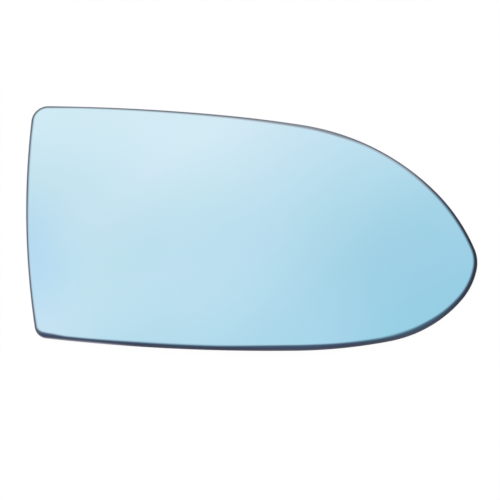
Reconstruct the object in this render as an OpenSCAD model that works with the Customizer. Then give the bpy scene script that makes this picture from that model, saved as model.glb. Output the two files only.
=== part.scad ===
// Door mirror glass: a bent sheet cut to a long drop shape, ground round all along its edge.
// It lies on its hollow back with the reflecting side up, +X towards the tip and +Y upwards
// as it stands in the car. The origin is at the middle of its width and height, level with
// the three places that it rests on: its two left corners and its nose.

/* [Glass] */
// Width from the left side to the tip
glass_w = 181.5; // [176:0.5:188]
// Height from the bottom side to the top side
glass_h = 109.5; // [106:0.5:113]
// Thickness of the sheet
glass_t = 3; // [2.2:0.1:4]
// Bend radius of the reflecting side, the same in every direction
bend_r = 1400; // [900:10:2400]
// How far the rounding of the ground edge runs in over each face
edge_run = 0.95; // [0.5:0.05:1.05]

/* [Radii round the outline] */
// Lower left corner
low_corner_r = 5.7; // [3:0.1:10]
// Heel, where the bottom side begins to rise
heel_r = 195; // [170:1:220]
// Chin, below the nose
chin_r = 48; // [44:0.5:52]
// Nose, below the tip
nose_r = 28; // [24:0.5:32]
// Tip
tip_r = 15.5; // [12:0.5:20]
// Brow, above the tip
brow_r = 78; // [70:1:86]
// Shoulder, where the upper side meets the top side
shoulder_r = 570; // [500:5:640]
// Upper left corner
high_corner_r = 6.6; // [3:0.1:10]

/* [Directions where its stretches begin] */
// Lower left corner, as degrees from +X of one who walks the outline anticlockwise
low_corner_turn = -81; // [-83:0.5:-79]
// Bottom side
bottom_turn = -10; // [-11.5:0.5:-8.5]
// Heel
heel_turn = -1.5; // [-2.5:0.5:-0.5]
// Chin
chin_turn = 9.5; // [8.5:0.5:10.5]
// Nose
nose_turn = 49.5; // [46:0.5:53]
// Tip
tip_turn = 77.5; // [74:0.5:81]
// Brow
brow_turn = 111; // [107:0.5:115]
// Upper side
upper_turn = 132; // [128:0.5:136]
// Shoulder
shoulder_turn = 168; // [167:0.5:169]
// Top side
top_turn = 171; // [170:0.5:172]
// Upper left corner
high_corner_turn = 175; // [174:0.5:176]
// Left side
side_turn = 265; // [263:0.5:267]

/* [Fineness] */
// Greatest turn of the outline from one facet of the edge to the next, in degrees
facet_turn = 5; // [3:1:8]
// Greatest length of a facet of the edge
facet_length = 5; // [4:0.5:8]
// Facets across the rounding of the edge
edge_facets = 8; // [6:1:10]

/* [Hidden] */

// The directions in which the outline passes its lowest, rightmost and highest points
LOWEST = 0;
RIGHTMOST = 90;
HIGHEST = 180;
// It begins and ends at its leftmost point
START = -90;
END = 270;

// Facets round the two spheres of the bend
bend_facets = 720;
// How far the edge form stands clear of the sheet above and below it
form_clear = 1;
// Passes that find the middle between the three resting places
rest_passes = 8;

// Radius of the sheet's middle surface, and of the round profile of the edge
middle_r = bend_r - glass_t / 2;
edge_r = (edge_run ^ 2 + (glass_t / 2) ^ 2) / (2 * edge_run);
edge_sweep = asin(glass_t / 2 / edge_r);

function limited(v, low, high) = max(low, min(high, v));
function total(v, i = 0) = i == len(v) - 1 ? v[i] : v[i] + total(v, i + 1);
function unit(v) = v / norm(v);

// How far an arc of radius 1 carries the outline as its direction turns
function carry(from, to) = [sin(to) - sin(from), cos(from) - cos(to)];

// The same, for the part of the arc that lies between two directions
function carry_within(turns, low, high) =
    carry(limited(turns[0], low, high), limited(turns[1], low, high));

// What an arc of radius 1 adds to the outline's width along its lower and its upper half,
// and to its height along its right and its left half
function spans(turns) = [
    carry_within(turns, START, RIGHTMOST).x,
    carry_within(turns, RIGHTMOST, END).x,
    carry_within(turns, LOWEST, HIGHEST).y,
    carry_within(turns, HIGHEST, END).y + carry_within(turns, START, LOWEST).y
];

// The arcs of given radius: radius, first and last direction
low_corner = [low_corner_r, low_corner_turn, bottom_turn];
heel = [heel_r, heel_turn, chin_turn];
chin = [chin_r, chin_turn, nose_turn];
nose = [nose_r, nose_turn, tip_turn];
tip = [tip_r, tip_turn, brow_turn];
brow = [brow_r, brow_turn, upper_turn];
shoulder = [shoulder_r, shoulder_turn, top_turn];
high_corner = [high_corner_r, high_corner_turn, side_turn];
given = [low_corner, heel, chin, nose, tip, brow, shoulder, high_corner];

// The four long sides take the radii with which the outline closes at its width and height
side_spans = spans([START, low_corner_turn]) + spans([side_turn, END]);
bottom_spans = spans([bottom_turn, heel_turn]);
upper_spans = spans([upper_turn, shoulder_turn]);
top_spans = spans([top_turn, high_corner_turn]);
long_spans = [side_spans, bottom_spans, upper_spans, top_spans];
left_over = [glass_w, -glass_w, glass_h, -glass_h]
    - total([for (arc = given) arc[0] * spans([arc[1], arc[2]])]);

function without(m, column) =
    [for (row = [1 : len(m) - 1]) [for (k = [0 : len(m) - 1]) if (k != column) m[row][k]]];
function determinant(m) = len(m) == 1
    ? m[0][0]
    : total([for (k = [0 : len(m) - 1]) (-1) ^ k * m[0][k] * determinant(without(m, k))]);
function with_row(m, row, v) = [for (k = [0 : len(m) - 1]) k == row ? v : m[k]];
function long_radius(k) =
    determinant(with_row(long_spans, k, left_over)) / determinant(long_spans);

side_low = [long_radius(0), START, low_corner_turn];
bottom = [long_radius(1), bottom_turn, heel_turn];
upper = [long_radius(2), upper_turn, shoulder_turn];
top = [long_radius(3), top_turn, high_corner_turn];
side_high = [long_radius(0), side_turn, END];

arcs = [
    side_low, low_corner, bottom, heel, chin, nose, tip,
    brow, upper, shoulder, top, high_corner, side_high
];
LOW_CORNER = 1;
NOSE = 5;
HIGH_CORNER = 11;

// The leftmost point, with the middle of the width and the height at the origin
low_drop = total([for (arc = arcs) arc[0] * carry_within([arc[1], arc[2]], START, LOWEST).y]);
leftmost = [-glass_w / 2, -glass_h / 2 - low_drop];

// Where each arc begins
starts = [
    for (k = 0, p = leftmost; k < len(arcs);
        p = p + arcs[k][0] * carry(arcs[k][1], arcs[k][2]), k = k + 1) p
];

function facets(arc) = let (turn = arc[2] - arc[1])
    ceil(max(turn / facet_turn, arc[0] * turn * PI / 180 / facet_length));

// Stations round the outline: the point and the direction that faces outwards
stations = [
    for (k = [0 : len(arcs) - 1])
        let (arc = arcs[k], count = facets(arc))
            for (i = [0 : count - 1])
                let (turn = arc[1] + (arc[2] - arc[1]) * i / count)
                    [starts[k] + arc[0] * carry(arc[1], turn), [sin(turn), -cos(turn)]]
];

// The glass rests on the points of three arcs that lie furthest from the middle of the bend
function arc_centre(k) = starts[k] + arcs[k][0] * [-sin(arcs[k][1]), cos(arcs[k][1])];
function furthest(k, middle) =
    arc_centre(k) + arcs[k][0] * unit(arc_centre(k) - middle);
function turned(v) = [-v.y, v.x];
function through_three(a, b, c) =
    a + (turned(b - a) * ((c - a) * (c - a)) - turned(c - a) * ((b - a) * (b - a)))
        / (2 * cross(b - a, c - a));
function settled(middle, passes) = passes == 0
    ? middle
    : settled(
        through_three(furthest(LOW_CORNER, middle), furthest(NOSE, middle), furthest(HIGH_CORNER, middle)),
        passes - 1
    );

bend_middle = settled([0, 0], rest_passes);
rest_reach = norm(furthest(NOSE, bend_middle) - bend_middle);
rest_lean = asin(rest_reach / middle_r);
// Height of the back's rim over the centre of the bend, where the glass rests
rest_z = (bend_r - glass_t) * cos(rest_lean) + edge_run * sin(rest_lean);
bend_centre = [bend_middle.x, bend_middle.y, -rest_z];

// The edge's profile from the back to the front, as [outwards, towards the front] from the
// middle of the edge. Its first and last facets cross the faces of the sheet halfway.
function on_edge(a) = [edge_r * (cos(a) - 1), edge_r * sin(a)];
edge_step = 2 * edge_sweep / edge_facets;
edge_round = [for (k = [0 : edge_facets - 1]) on_edge(edge_step * (k + 0.5) - edge_sweep)];
edge_profile = [
    2 * on_edge(-edge_sweep) - edge_round[0],
    each edge_round,
    2 * on_edge(edge_sweep) - edge_round[edge_facets - 1]
];

// A profile point at a station, square to the sheet, in the frame of the part
function edge_point(station, place) =
    let (
        flat = station[0] - bend_middle,
        face = [flat.x, flat.y, sqrt(middle_r ^ 2 - flat * flat)] / middle_r,
        level = [station[1].x, station[1].y, 0],
        outward = unit(level - (level * face) * face)
    )
    bend_centre + (middle_r + place[1]) * face + place[0] * outward;

function at_height(p, z) = [p.x, p.y, z];

form_top = bend_r - rest_z + form_clear;

// Everything inside the ground edge, between two level planes above and below the sheet
module edge_form() {
    rings = [for (place = edge_profile) [for (station = stations) edge_point(station, place)]];
    stack = [
        [for (p = rings[0]) at_height(p, -form_clear)],
        each rings,
        [for (p = rings[len(rings) - 1]) at_height(p, form_top)]
    ];
    around = len(stations);
    last = len(stack) - 1;
    polyhedron(
        points = [for (ring = stack) each ring],
        faces = [
            [for (k = [0 : around - 1]) k],
            for (row = [0 : last - 1], k = [0 : around - 1])
                let (next = (k + 1) % around, low = row * around, high = low + around)
                    each [[low + k, high + k, low + next], [low + next, high + k, high + next]],
            [for (k = [around - 1 : -1 : 0]) last * around + k]
        ],
        convexity = 2
    );
}

// A piece of hollow ball, as thick as the glass
module bent_sheet() {
    translate(bend_centre) difference() {
        sphere(r = bend_r, $fn = bend_facets);
        sphere(r = bend_r - glass_t, $fn = bend_facets);
    }
}

module mirror_glass() {
    color([0.7, 0.86, 0.93]) intersection() {
        edge_form();
        bent_sheet();
    }
}

mirror_glass();
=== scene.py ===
"""A bent, blue-tinted door mirror glass lying on its hollow back, seen from above."""
import math

import bpy
import numpy as np
from mathutils import Matrix, Vector


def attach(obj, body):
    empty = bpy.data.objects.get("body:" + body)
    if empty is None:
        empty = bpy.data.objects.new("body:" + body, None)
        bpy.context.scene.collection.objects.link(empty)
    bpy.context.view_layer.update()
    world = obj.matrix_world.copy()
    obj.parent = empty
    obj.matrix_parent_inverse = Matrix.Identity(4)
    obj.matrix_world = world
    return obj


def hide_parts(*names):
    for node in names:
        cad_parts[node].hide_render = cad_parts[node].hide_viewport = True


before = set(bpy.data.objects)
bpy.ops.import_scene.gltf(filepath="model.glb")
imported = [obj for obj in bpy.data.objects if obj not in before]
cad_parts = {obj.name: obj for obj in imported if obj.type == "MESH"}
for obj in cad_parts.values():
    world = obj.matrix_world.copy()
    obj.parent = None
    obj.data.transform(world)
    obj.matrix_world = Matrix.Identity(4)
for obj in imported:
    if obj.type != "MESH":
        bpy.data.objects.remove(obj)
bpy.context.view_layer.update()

# ---- The form of the glass, in metres and degrees, as the part's source has it ----

GLASS_W = 0.1815
GLASS_H = 0.1095
GLASS_T = 0.003
# Bend radius of the reflecting side, and of the sheet's middle surface
BEND_R = 1.4
MIDDLE_R = BEND_R - GLASS_T / 2
# How far the rounding of the ground edge runs in over each face
EDGE_RUN = 0.00095
# The outline's arcs anticlockwise from its leftmost point: where each begins, as the
# direction of travel, and its radius, or the name of the long side that closes the outline
START, LOWEST, RIGHTMOST, HIGHEST, END = -90, 0, 90, 180, 270
ARCS = (
    (START, "side"),
    (-81, 0.0057),
    (-10, "bottom"),
    (-1.5, 0.195),
    (9.5, 0.048),
    (49.5, 0.028),
    (77.5, 0.0155),
    (111, 0.078),
    (132, "upper"),
    (168, 0.570),
    (171, "top"),
    (175, 0.0066),
    (265, "side"),
)
LONG_SIDES = ("side", "bottom", "upper", "top")
# The arcs with the three places that the glass rests on, and the passes that find the middle
# between these
LOW_CORNER, NOSE, HIGH_CORNER = 1, 5, 11
REST_PASSES = 8
# The arris between the edge and the reflecting face is softened: its radius, and the lean
# from the level at which the reflecting coat begins on it
ARRIS_R = 0.0011
COAT_LEAN = 70.0

# ---- Its mesh: rows of points round the glass, from the middle of the back over the edge to
# the middle of the front ----

# Greatest turn and length of a step along the outline
STEP_ANGLE = 1.5
STEP_LENGTH = 0.0012
# Steps across the round of the edge, and across the arris below and above the coat's rim
EDGE_STEPS = 16
ARRIS_STEPS = 5
# Width of the strip inside the rim of each face, and the rows across it
RIM_WIDTH = 0.0025
RIM_ROWS = 8
# Rows from there to the middle of the face, the middle counted in
FACE_ROWS = 26
# The rows with which the edge and the coat begin
FIRST_EDGE = RIM_ROWS + FACE_ROWS - 1
FIRST_COAT = FIRST_EDGE + EDGE_STEPS + ARRIS_STEPS
# The material slots
FRONT, EDGE, BACK = 0, 1, 2

# ---- The dark line round the coat, and the ground edge below it ----

# The dark line's colours: the darker ones paint shade at the bottom and tip, the paler ones paint
# light along the top and left
INK = (0.022, 0.032, 0.055)
NAVY = (0.049, 0.074, 0.140)
TEAL = (0.062, 0.104, 0.168)
SMOKE = (0.088, 0.100, 0.134)
DUSK = (0.109, 0.142, 0.203)
SLATE = (0.163, 0.196, 0.242)
MIST = (0.182, 0.219, 0.264)
STEEL = (0.094, 0.127, 0.144)
# What changes along the rim, by the way round the outline from its leftmost point: how far
# inside the coat's rim the line begins to fade and over what width, all in metres, the line's
# colour, paler along the top and left as painted light and darker at the bottom and tip as
# painted shade, the ground edge's painted light and shade, brighter along the top and left
# with a painted highlight there and darkest at the tip, and how pale its lower half
RIM = (
    (0.000, -0.00030, 0.0012, DUSK, 1.25, 0.0),
    (0.017, -0.00048, 0.0012, DUSK, 1.55, 0.0),
    (0.033, -0.00046, 0.0012, DUSK, 2.30, 0.0),
    (0.050, -0.00034, 0.0012, DUSK, 1.75, 0.0),
    (0.058, -0.00020, 0.0011, DUSK, 1.20, 0.1),
    (0.063, 0.00066, 0.0009, NAVY, 0.80, 0.8),
    (0.067, 0.00042, 0.0010, NAVY, 0.85, 1.0),
    (0.072, -0.00008, 0.0011, NAVY, 0.95, 1.0),
    (0.081, -0.00010, 0.0011, NAVY, 1.45, 1.0),
    (0.087, -0.00004, 0.0011, NAVY, 1.15, 1.0),
    (0.102, 0.00003, 0.0012, NAVY, 0.54, 0.1),
    (0.114, -0.00003, 0.0012, NAVY, 0.76, 0.0),
    (0.134, -0.00004, 0.0012, NAVY, 0.50, 0.0),
    (0.152, 0.00046, 0.0009, NAVY, 0.78, 0.0),
    (0.161, 0.00061, 0.0008, NAVY, 0.98, 0.0),
    (0.172, 0.00056, 0.0009, NAVY, 0.90, 0.0),
    (0.184, 0.00032, 0.0010, NAVY, 0.68, 0.0),
    (0.199, 0.00004, 0.0013, TEAL, 0.66, 0.0),
    (0.208, 0.00030, 0.0014, TEAL, 0.84, 0.0),
    (0.218, 0.00050, 0.0011, TEAL, 0.73, 0.0),
    (0.227, 0.00024, 0.0011, TEAL, 0.42, 0.0),
    (0.236, 0.00009, 0.0011, NAVY, 0.22, 0.0),
    (0.255, 0.00008, 0.0011, INK, 0.01, 0.0),
    (0.270, 0.00007, 0.0012, INK, 0.08, 0.0),
    (0.282, 0.00000, 0.0013, NAVY, 0.12, 0.0),
    (0.291, -0.00008, 0.0013, SMOKE, 0.22, 0.0),
    (0.302, -0.00022, 0.0014, SLATE, 1.40, 0.0),
    (0.321, -0.00028, 0.0014, SLATE, 0.72, 0.0),
    (0.334, 0.00030, 0.0012, SLATE, 1.80, 0.0),
    (0.343, 0.00027, 0.0012, MIST, 2.85, 0.0),
    (0.354, 0.00018, 0.0012, MIST, 2.50, 0.0),
    (0.376, -0.00004, 0.0012, SLATE, 1.45, 0.0),
    (0.410, -0.00011, 0.0010, SLATE, 0.85, 0.0),
    (0.430, -0.00018, 0.0010, MIST, 1.40, 0.0),
    (0.443, -0.00016, 0.0009, SLATE, 1.90, 0.0),
    (0.460, -0.00002, 0.0010, STEEL, 0.52, 0.0),
    (0.472, -0.00021, 0.0011, DUSK, 2.00, 0.0),
    (0.481, -0.00026, 0.0012, DUSK, 2.10, 0.0),
)

# ---- Materials ----

# The coat's blue and its deeper patches, and how much of the dark line covers it at its rim
TINT = (0.47, 0.735, 0.87, 1)
TINT_DEEP = (0.41, 0.71, 0.87, 1)
LINE_SHARE = 0.94
COAT_ROUGHNESS = 0.02, 0.07
# Depth of its faint waves
WAVE_DEPTH = 0.00002

# The ground edge: its own grey, which RIM brightens or darkens round the outline as painted
# light and shade, its pale lower lip and the chips at the coat's rim
EDGE_OUTER = (0.122, 0.117, 0.158)
EDGE_PALE = (0.55, 0.54, 0.62, 1)
EDGE_CHIP = (0.20, 0.23, 0.28, 1)
# How much of the dark line's colour the edge takes at the coat's rim
LINE_ON_EDGE = 0.87
# The painted light on the lower half of the edge is never brighter than this
PAINTED_LIGHT_CAP_BELOW = 1.2
# Places across the edge, 0 at the back and 1 at the coat's rim, between which it passes from
# the painted light and shade of its lower half to that of its upper half, from the pale lip to
# the grey, from the grey to the line's colour, and from whole glass to chips
UPPER_HALF = 0.38, 0.5
PALE_LIP = 0.45, 0.76
LINE_FOOT = 0.45, 0.85
CHIP_ZONE = 0.9, 1.0
EDGE_ROUGHNESS = 0.32, 0.55
# Depth of its grinding lines
GRAIN_DEPTH = 0.00004

# The paint on the back, where it is thick and where it is thin
PAINT = (0.028, 0.03, 0.034, 1)
PAINT_PALE = (0.05, 0.054, 0.06, 1)
PAINT_ROUGHNESS = 0.42, 0.62
# Depth of its orange peel
PEEL_DEPTH = 0.00003

# ---- Floor, studio and camera ----

WHITE = (1, 1, 1, 1)
FLOOR_HALF = 3.0
# What the camera and the mirror see of the floor: for this share a glow of this strength, and
# for the rest its own lit white, which keeps a faint shadow. Together they make plain white.
FLOOR_GLOW = 0.96
FLOOR_STRENGTH = 1.012

# The studio overhead, from back left to front right: places along SKY_AXIS and colours
SKY_AXIS = (0.588, -0.809, 0.0)
SKY = (
    (-0.64, (1.45, 1.25, 1.17, 1)),
    (-0.50, (1.368, 1.137, 1.031, 1)),
    (-0.42, (1.409, 1.138, 1.050, 1)),
    (-0.34, (1.092, 1.007, 0.988, 1)),
    (-0.26, (0.752, 0.869, 0.895, 1)),
    (-0.20, (0.675, 0.848, 0.891, 1)),
    (0.1, (0.70, 0.78, 0.82, 1)),
)
# Soft screens overhead, some pale and some dim: the middle as a direction (x, y), half width
# and half height there, and what each adds in its middle
SCREENS = (
    ((0.152, 0.508), (0.275, 0.300), (0.404, 0.146, 0.160)),
    ((-0.111, 0.233), (0.151, 0.132), (0.143, 0.073, 0.053)),
    ((-0.361, 0.339), (0.310, 0.110), (-0.279, -0.123, -0.070)),
    ((-0.301, 0.303), (0.061, 0.079), (-0.177, -0.069, 0.017)),
)
# Faint mottling overhead, one way and the other
CLOUD = (0.022, -0.007, 0.010)
# The walls, at back left and at front right, and the heights between which they pass into
# the studio overhead, as sines
WALLS = (1.02, 1.02, 1.03, 1), (0.50, 0.53, 0.58, 1)
WALL_TOP, SKY_FOOT = 0.58, 0.80

# The camera's lean from straight above, towards the foot of the picture and to its right, in
# degrees; its distance, the width that it takes in there, and the place that it looks at
LEAN_DOWN = 20.24
LEAN_RIGHT = 7.6
CAMERA_DISTANCE = 1.5
FRAME_WIDTH = 0.19986
AIM = (0.00006, -0.01058, 0.0)
# Width of its sensor, in millimetres
SENSOR = 36.0


def linked(name, data):
    """A new object of the scene."""
    made = bpy.data.objects.new(name, data)
    bpy.context.scene.collection.objects.link(made)
    return made


def carry(first, last):
    """How far an arc of radius 1 carries the outline while its direction turns."""
    a, b = math.radians(first), math.radians(last)
    return np.array((math.sin(b) - math.sin(a), math.cos(a) - math.cos(b)))


def carry_within(first, last, low, high):
    """The same, for the part of the arc that lies between two directions."""
    return carry(*np.clip((first, last), low, high))


def spans(first, last):
    """What an arc of radius 1 adds to the width along the lower and the upper half of the
    outline, and to the height along its right and its left half."""
    left = carry_within(first, last, HIGHEST, END) + carry_within(first, last, START, LOWEST)
    return np.array((
        carry_within(first, last, START, RIGHTMOST)[0],
        carry_within(first, last, RIGHTMOST, END)[0],
        carry_within(first, last, LOWEST, HIGHEST)[1],
        left[1],
    ))


def solved_arcs():
    """Radius, first and last direction of every arc, with the long sides' radii solved."""
    ends = [first for first, _ in ARCS[1:]] + [END]
    columns = np.zeros((4, len(LONG_SIDES)))
    rest = np.array((GLASS_W, -GLASS_W, GLASS_H, -GLASS_H))
    for (first, radius), last in zip(ARCS, ends):
        if radius in LONG_SIDES:
            columns[:, LONG_SIDES.index(radius)] += spans(first, last)
        else:
            rest -= radius * spans(first, last)
    sides = dict(zip(LONG_SIDES, np.linalg.solve(columns, rest)))
    return [(sides.get(radius, radius), first, last) for (first, radius), last in zip(ARCS, ends)]


def arc_starts(arcs):
    """Where each arc begins, with the middle of the width and the height at the origin."""
    drop = sum(radius * carry_within(a, b, START, LOWEST)[1] for radius, a, b in arcs)
    starts = [np.array((-GLASS_W / 2, -GLASS_H / 2 - drop))]
    for radius, first, last in arcs:
        starts.append(starts[-1] + radius * carry(first, last))
    return starts


def outline(arcs, starts):
    """Points round the outline and the directions that face outwards from them."""
    points, outward = [], []
    for (radius, first, last), start in zip(arcs, starts):
        turn = last - first
        steps = math.ceil(max(turn / STEP_ANGLE, radius * math.radians(turn) / STEP_LENGTH))
        for angle in first + turn * np.arange(steps) / steps:
            points.append(start + radius * carry(first, angle))
            outward.append((math.sin(math.radians(angle)), -math.cos(math.radians(angle))))
    return np.array(points), np.array(outward)


def resting_middle(arcs, starts):
    """The middle of the bend, as far from the nose as from both left corners, and how far."""
    def arc_centre(k):
        radius, first, _ = arcs[k]
        a = math.radians(first)
        return starts[k] + radius * np.array((-math.sin(a), math.cos(a)))

    def furthest(k, middle):
        away = arc_centre(k) - middle
        return arc_centre(k) + arcs[k][0] * away / np.linalg.norm(away)

    middle = np.zeros(2)
    for _ in range(REST_PASSES):
        a, b, c = (furthest(k, middle) for k in (LOW_CORNER, NOSE, HIGH_CORNER))
        middle = np.linalg.solve(2 * np.array((b - a, c - a)), (b @ b - a @ a, c @ c - a @ a))
    return middle, np.linalg.norm(furthest(NOSE, middle) - middle)


def rest_height(reach):
    """Height over the centre of the bend of the places that the glass rests on."""
    lean = math.asin(reach / MIDDLE_R)
    return (BEND_R - GLASS_T) * math.cos(lean) + EDGE_RUN * math.sin(lean)


def square_ring(points, outward, middle, place):
    """A ring that keeps square to the sheet, with the centre of the bend as origin. place is
    (outwards, towards the front) from the outermost line of the edge."""
    flat = points - middle
    face = np.c_[flat, np.sqrt(MIDDLE_R ** 2 - (flat ** 2).sum(1))] / MIDDLE_R
    level = np.c_[outward, np.zeros(len(outward))]
    out = level - (level * face).sum(1)[:, None] * face
    out /= np.linalg.norm(out, axis=1)[:, None]
    return (MIDDLE_R + place[1]) * face + place[0] * out


def edge_profile():
    """Places across the edge from the back to the front."""
    half = GLASS_T / 2
    edge_r = (EDGE_RUN ** 2 + half ** 2) / (2 * EDGE_RUN)
    sweep = math.asin(half / edge_r)
    arris_rise = half - ARRIS_R
    arris_in = math.sqrt((edge_r - ARRIS_R) ** 2 - arris_rise ** 2) - edge_r
    join = math.atan2(arris_rise, arris_in + edge_r)
    coat = math.radians(COAT_LEAN)
    places = [
        (edge_r * (math.cos(a) - 1), edge_r * math.sin(a))
        for a in np.linspace(-sweep, join, EDGE_STEPS + 1)
    ]
    for first, last in ((join, coat), (coat, math.pi / 2)):
        for a in np.linspace(first, last, ARRIS_STEPS + 1)[1:]:
            places.append((arris_in + ARRIS_R * math.cos(a), arris_rise + ARRIS_R * math.sin(a)))
    return places


def face_rings(points, outward, middle, rim, radius):
    """Rings on a face from its rim inwards, and how far inside the rim each lies, which is
    counted across the strip alone."""
    rings, ways = [], []
    for k in range(1, RIM_ROWS + 1):
        way = RIM_WIDTH * k / RIM_ROWS
        ring = square_ring(points, outward, middle, (rim[0] - way, rim[1]))
        rings.append(ring * radius / np.linalg.norm(ring, axis=1)[:, None])
        ways.append(way)
    inner = rings[-1][:, :2]
    for k in range(1, FACE_ROWS):
        flat = inner * (1 - k / FACE_ROWS)
        rings.append(np.c_[flat, np.sqrt(radius ** 2 - (flat ** 2).sum(1))])
        ways.append(RIM_WIDTH)
    return rings, ways


def glass_rings(points, outward, middle):
    """All rings, with two values for each: how far inside the rim of the coat, or of the
    back, it lies, and its place across the edge from 0 at the back to 1 at the coat."""
    places = edge_profile()
    edge = [square_ring(points, outward, middle, place) for place in places]
    coat_row = FIRST_COAT - FIRST_EDGE
    edge_ways = [0.0] * (coat_row + 1)
    for before, here in zip(places[coat_row:], places[coat_row + 1:]):
        edge_ways.append(edge_ways[-1] + math.dist(before, here))
    edge_ups = [min(1.0, k / coat_row) for k in range(len(places))]

    back, back_ways = face_rings(points, outward, middle, places[0], BEND_R - GLASS_T)
    front, front_ways = face_rings(points, outward, middle, places[-1], BEND_R)
    rings = back[::-1] + edge + front
    ways = back_ways[::-1] + edge_ways + [edge_ways[-1] + way for way in front_ways]
    ups = [0.0] * len(back) + edge_ups + [1.0] * len(front)
    return rings, ways, ups


def glass_faces(rows, around):
    """Faces between the rows and round the middles of both faces, and their slots."""
    faces, slots = [], []
    for row in range(rows - 1):
        low, high = row * around, (row + 1) * around
        slot = BACK if row < FIRST_EDGE else EDGE if row < FIRST_COAT else FRONT
        for k in range(around):
            n = (k + 1) % around
            faces.append((low + k, low + n, high + n, high + k))
            slots.append(slot)
    last = (rows - 1) * around
    back_middle = rows * around
    front_middle = back_middle + 1
    for k in range(around):
        n = (k + 1) % around
        faces += [(back_middle, n, k), (front_middle, last + k, last + n)]
        slots += [BACK, FRONT]
    return faces, slots


def sharpen_back_rim(mesh, around):
    rim = range(FIRST_EDGE * around, (FIRST_EDGE + 1) * around)
    sharp = mesh.attributes.new("sharp_edge", "BOOLEAN", "EDGE")
    for edge in mesh.edges:
        sharp.data[edge.index].value = all(vertex in rim for vertex in edge.vertices)


def along_rim(points):
    """The columns of RIM at each point, with the line's colour as the last three."""
    steps = np.linalg.norm(np.roll(points, -1, axis=0) - points, axis=1)
    way = np.cumsum(steps) - steps
    places, start, fade, line, painted_light, pale = zip(*RIM)
    columns = (start, fade, painted_light, pale, *zip(*line))
    return [np.interp(way, places, column, period=steps.sum()) for column in columns]


def write_rim(mesh, points, ways, ups):
    """The values that the materials read at each vertex, the two middles last."""
    rim_in = np.repeat(ways, len(points))
    start, fade, painted_light, pale, *line = (np.tile(col, len(ways)) for col in along_rim(points))
    written = (
        ("rim_in", rim_in, (RIM_WIDTH, RIM_WIDTH)),
        ("past_line", (rim_in - start) / fade, (1, 1)),
        ("edge_up", np.repeat(ups, len(points)), (0, 1)),
        ("edge_painted_light", painted_light, (1, 1)),
        ("edge_pale", pale, (0, 0)),
    )
    for name, values, in_middles in written:
        data = mesh.attributes.new(name, "FLOAT", "POINT").data
        data.foreach_set("value", np.concatenate((values, in_middles)))
    colours = np.stack((*line, np.ones(len(rim_in))), axis=1)
    colours = np.concatenate((colours, (WHITE, WHITE)))
    data = mesh.attributes.new("line", "FLOAT_COLOR", "POINT").data
    data.foreach_set("color", colours.ravel())


def build_glass():
    """The whole glass as one closed mesh: reflecting face, ground edge and hollow back."""
    arcs = solved_arcs()
    starts = arc_starts(arcs)
    points, outward = outline(arcs, starts)
    middle, reach = resting_middle(arcs, starts)
    rings, ways, ups = glass_rings(points, outward, middle)
    middles = np.array([[0, 0, BEND_R - GLASS_T], [0, 0, BEND_R]])
    vertices = np.concatenate(rings + [middles]) + (*middle, -rest_height(reach))
    faces, slots = glass_faces(len(rings), len(points))

    mesh = bpy.data.meshes.new("bent_mirror")
    mesh.from_pydata(vertices.tolist(), [], faces)
    mesh.polygons.foreach_set("material_index", slots)
    mesh.polygons.foreach_set("use_smooth", [True] * len(faces))
    sharpen_back_rim(mesh, len(points))
    write_rim(mesh, points, ways, ups)
    mesh.update()
    return linked("bent_mirror", mesh)


class Nodes:
    """A node tree with short ways to add and link nodes."""

    def __init__(self, tree):
        self.tree = tree

    def add(self, kind, inputs=None, **settings):
        node = self.tree.nodes.new(kind)
        for key, value in settings.items():
            setattr(node, key, value)
        for key, value in (inputs or {}).items():
            self.feed(node.inputs[key], value)
        return node

    def feed(self, socket, value):
        """Links the value to the socket where it is an output, and else sets it there."""
        if isinstance(value, bpy.types.NodeSocket):
            self.tree.links.new(value, socket)
        else:
            socket.default_value = value

    def place(self, scale=(1, 1, 1)):
        """The place on the object, in metres."""
        coords = self.add("ShaderNodeTexCoord").outputs["Object"]
        return self.add("ShaderNodeMapping", {"Vector": coords, "Scale": scale}).outputs[0]

    def noise(self, vector, scale, detail=3.0, roughness=0.5):
        settings = {"Vector": vector, "Scale": scale, "Detail": detail, "Roughness": roughness}
        return self.add("ShaderNodeTexNoise", settings).outputs["Fac"]

    def spread(self, value, to, within=(0.0, 1.0), kind="LINEAR"):
        """The value carried over from the range within to the range to, and held at its ends."""
        inputs = {
            "Value": value,
            "From Min": within[0], "From Max": within[1],
            "To Min": to[0], "To Max": to[1],
        }
        return self.add("ShaderNodeMapRange", inputs, interpolation_type=kind).outputs[0]

    def math(self, operation, a, b):
        return self.add("ShaderNodeMath", {0: a, 1: b}, operation=operation).outputs[0]

    def vector(self, operation, a, b, output=0):
        node = self.add("ShaderNodeVectorMath", {0: a, 1: b}, operation=operation)
        return node.outputs[output]

    def scaled(self, vector, amount):
        inputs = {0: vector, "Scale": amount}
        return self.add("ShaderNodeVectorMath", inputs, operation="SCALE").outputs[0]

    def attribute(self, name, output="Fac"):
        return self.add("ShaderNodeAttribute", attribute_name=name).outputs[output]

    def mix(self, share, a, b):
        """Colour a where the share is 0, and b where it is 1."""
        inputs = {"Factor": share, "A": a, "B": b}
        return self.add("ShaderNodeMix", inputs, data_type="RGBA").outputs["Result"]

    def ramp(self, value, stops):
        node = self.add("ShaderNodeValToRGB", {"Fac": value})
        while len(node.color_ramp.elements) < len(stops):
            node.color_ramp.elements.new(0.5)
        for element, (place, colour) in zip(node.color_ramp.elements, stops):
            element.position = place
            element.color = colour
        return node.outputs["Color"]

    def bump(self, height, distance):
        return self.add("ShaderNodeBump", {"Height": height, "Distance": distance}).outputs[0]


class Material(Nodes):
    """A new material's node tree."""

    def __init__(self, name):
        self.material = bpy.data.materials.new(name)
        self.material.use_nodes = True
        super().__init__(self.material.node_tree)
        self.surface = self.tree.nodes["Principled BSDF"]

    def finish(self, **sockets):
        """Feeds the sockets of the surface and gives the material."""
        for key, value in sockets.items():
            self.feed(self.surface.inputs[key.replace("_", " ")], value)
        return self.material


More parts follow.
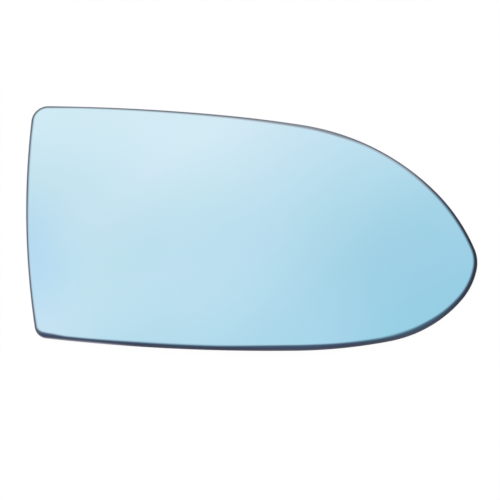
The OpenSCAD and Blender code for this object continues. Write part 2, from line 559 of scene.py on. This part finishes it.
def tinted_mirror():
    """Blue reflecting coat that fades to a dark line round its rim, whose colour is partly
    painted light and shade: paler along the top and left, darker at the bottom and tip.
    """
    m = Material("tinted_mirror")
    cloud = m.noise(m.place(), scale=14.0, detail=2.0)
    tint = m.mix(m.spread(cloud, to=(0.0, 0.3)), TINT, TINT_DEEP)
    share = m.spread(m.attribute("past_line"), to=(LINE_SHARE, 0.0), kind="SMOOTHSTEP")
    haze = m.noise(m.place((1, 2.2, 1)), scale=30.0, detail=5.0, roughness=0.65)
    wave = m.noise(m.place(), scale=9.0, detail=1.0)
    return m.finish(
        # The dark line's colour from the rim, which carries painted light and shade
        Base_Color=m.mix(share, tint, m.attribute("line", "Color")),
        Metallic=1.0,
        Roughness=m.spread(haze, to=COAT_ROUGHNESS),
        Normal=m.bump(wave, WAVE_DEPTH),
    )


def ground_edge():
    """Ground and dulled glass: grinding lines along the edge and fine chips at its rim,
    brightened and darkened round the outline by painted light and shade.
    """
    m = Material("ground_edge")
    up = m.attribute("edge_up")
    grain = m.noise(m.place((1, 1, 9)), scale=420.0, detail=3.0, roughness=0.6)
    patch = m.noise(m.place(), scale=70.0, detail=3.0)
    chips = m.noise(m.place(), scale=900.0, detail=1.0)

    # Painted light and shade: the edge's grey is brightened along the top and left, with a
    # painted highlight there, and darkened at the tip
    painted_light = m.attribute("edge_painted_light")
    below = m.scaled(EDGE_OUTER, m.math("MINIMUM", painted_light, PAINTED_LIGHT_CAP_BELOW))
    outer = m.mix(m.spread(up, (0, 1), UPPER_HALF), below, m.scaled(EDGE_OUTER, painted_light))
    # The edge's top takes the dark line's colour, with its painted light and shade
    inner = m.scaled(m.attribute("line", "Color"), LINE_ON_EDGE)
    body = m.mix(m.spread(up, (0, 1), LINE_FOOT), outer, inner)
    lip = m.spread(up, (1, 0), PALE_LIP, "SMOOTHSTEP")
    body = m.mix(m.math("MULTIPLY", lip, m.attribute("edge_pale")), body, EDGE_PALE)
    uneven = m.mix(m.spread(patch, to=(0.0, 0.4)), body, outer)
    chipped = m.mix(m.spread(chips, (0.0, 0.4), (0.62, 0.75)), uneven, EDGE_CHIP)
    return m.finish(
        Base_Color=m.mix(m.spread(up, (0, 1), CHIP_ZONE), uneven, chipped),
        Roughness=m.spread(grain, to=EDGE_ROUGHNESS),
        Normal=m.bump(grain, GRAIN_DEPTH),
        Specular_IOR_Level=0.15,
        Sheen_Weight=0.03,
        Sheen_Roughness=0.45,
    )


def painted_back():
    """Sprayed protective paint with a fine orange peel, thinner towards the rim."""
    m = Material("painted_back")
    peel = m.noise(m.place(), scale=700.0, detail=2.0)
    patch = m.noise(m.place(), scale=25.0, detail=4.0)
    speck = m.noise(m.place(), scale=2500.0, detail=0.0)

    body = m.mix(m.spread(patch, to=(0.0, 0.6)), PAINT, PAINT_PALE)
    thin = m.spread(m.attribute("rim_in"), (0.6, 0.0), (0.0, RIM_WIDTH))
    body = m.mix(thin, body, PAINT_PALE)
    return m.finish(
        Base_Color=m.mix(m.spread(speck, (0.0, 0.5), (0.68, 0.78)), body, PAINT_PALE),
        Roughness=m.spread(patch, to=PAINT_ROUGHNESS),
        Normal=m.bump(peel, PEEL_DEPTH),
    )


def make_floor():
    """A wide white floor that keeps a faint shadow of the glass."""
    h = FLOOR_HALF
    mesh = bpy.data.meshes.new("floor")
    mesh.from_pydata([(-h, -h, 0), (h, -h, 0), (h, h, 0), (-h, h, 0)], [], [(0, 1, 2, 3)])
    m = Material("floor")
    m.tree.nodes.remove(m.surface)
    path = m.add("ShaderNodeLightPath").outputs
    seen = m.math("MAXIMUM", path["Is Camera Ray"], path["Is Glossy Ray"])
    seen = m.math("MAXIMUM", seen, path["Is Transmission Ray"])
    share = m.math("MULTIPLY", seen, FLOOR_GLOW)
    cloth = m.add("ShaderNodeBsdfDiffuse", {"Color": WHITE}).outputs[0]
    glow = m.add("ShaderNodeEmission", {"Color": WHITE, "Strength": FLOOR_STRENGTH}).outputs[0]
    both = m.add("ShaderNodeMixShader", {0: share, 1: cloth, 2: glow}).outputs[0]
    m.feed(m.tree.nodes["Material Output"].inputs["Surface"], both)
    mesh.materials.append(m.material)
    linked("floor", mesh)


def make_world():
    """The studio that the glass reflects: walls, screens and mottling overhead. The camera
    sees plain white."""
    world = bpy.data.worlds.new("studio")
    bpy.context.scene.world = world
    world.use_nodes = True
    n = Nodes(world.node_tree)
    direction = n.add("ShaderNodeTexCoord").outputs["Generated"]
    along = n.vector("DOT_PRODUCT", direction, SKY_AXIS, output="Value")
    share = n.spread(along, (0, 1), (-1, 1))
    walls = n.mix(share, *WALLS)
    sky = n.ramp(share, [((place + 1) / 2, colour) for place, colour in SKY])

    x, y, height = n.add("ShaderNodeSeparateXYZ", {0: direction}).outputs
    level = n.add("ShaderNodeCombineXYZ", {0: x, 1: y}).outputs[0]
    for middle, half, gain in SCREENS:
        from_middle = n.vector("SUBTRACT", level, (*middle, 0))
        spaced = n.vector("DIVIDE", from_middle, (*half, 1))
        away = n.add("ShaderNodeVectorMath", {0: spaced}, operation="LENGTH").outputs["Value"]
        sky = n.vector("ADD", sky, n.scaled(gain, n.spread(away, (1, 0), kind="SMOOTHERSTEP")))
    cloud = n.noise(direction, scale=11.0, detail=2.0, roughness=0.6)
    sky = n.vector("ADD", sky, n.scaled(CLOUD, n.spread(cloud, (-1, 1), (0.3, 0.7))))
    overhead = n.spread(height, (0, 1), (WALL_TOP, SKY_FOOT), "SMOOTHSTEP")

    seen = n.add("ShaderNodeLightPath").outputs["Is Camera Ray"]
    colour = n.mix(seen, n.mix(overhead, walls, sky), WHITE)
    n.feed(n.tree.nodes["Background"].inputs["Color"], colour)


def make_camera():
    right, down = math.tan(math.radians(LEAN_RIGHT)), math.tan(math.radians(LEAN_DOWN))
    data = bpy.data.cameras.new("camera")
    data.sensor_width = SENSOR
    data.lens = SENSOR * CAMERA_DISTANCE / FRAME_WIDTH
    camera = linked("camera", data)
    camera.location = Vector((right, -down, 1)).normalized() * CAMERA_DISTANCE
    away = (camera.location - Vector(AIM)).normalized()
    across = Vector((0, 1, 0)).cross(away).normalized()
    turn = Matrix((across, away.cross(across), away)).transposed()
    camera.rotation_mode = "QUATERNION"
    camera.rotation_quaternion = turn.to_quaternion()
    bpy.context.scene.camera = camera


make_camera()
make_world()
make_floor()
glass = build_glass()
for material in (tinted_mirror(), ground_edge(), painted_back()):
    glass.data.materials.append(material)
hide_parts("mirror_glass")
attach(glass, "root")

bpy.context.scene.view_settings.view_transform = "Standard"
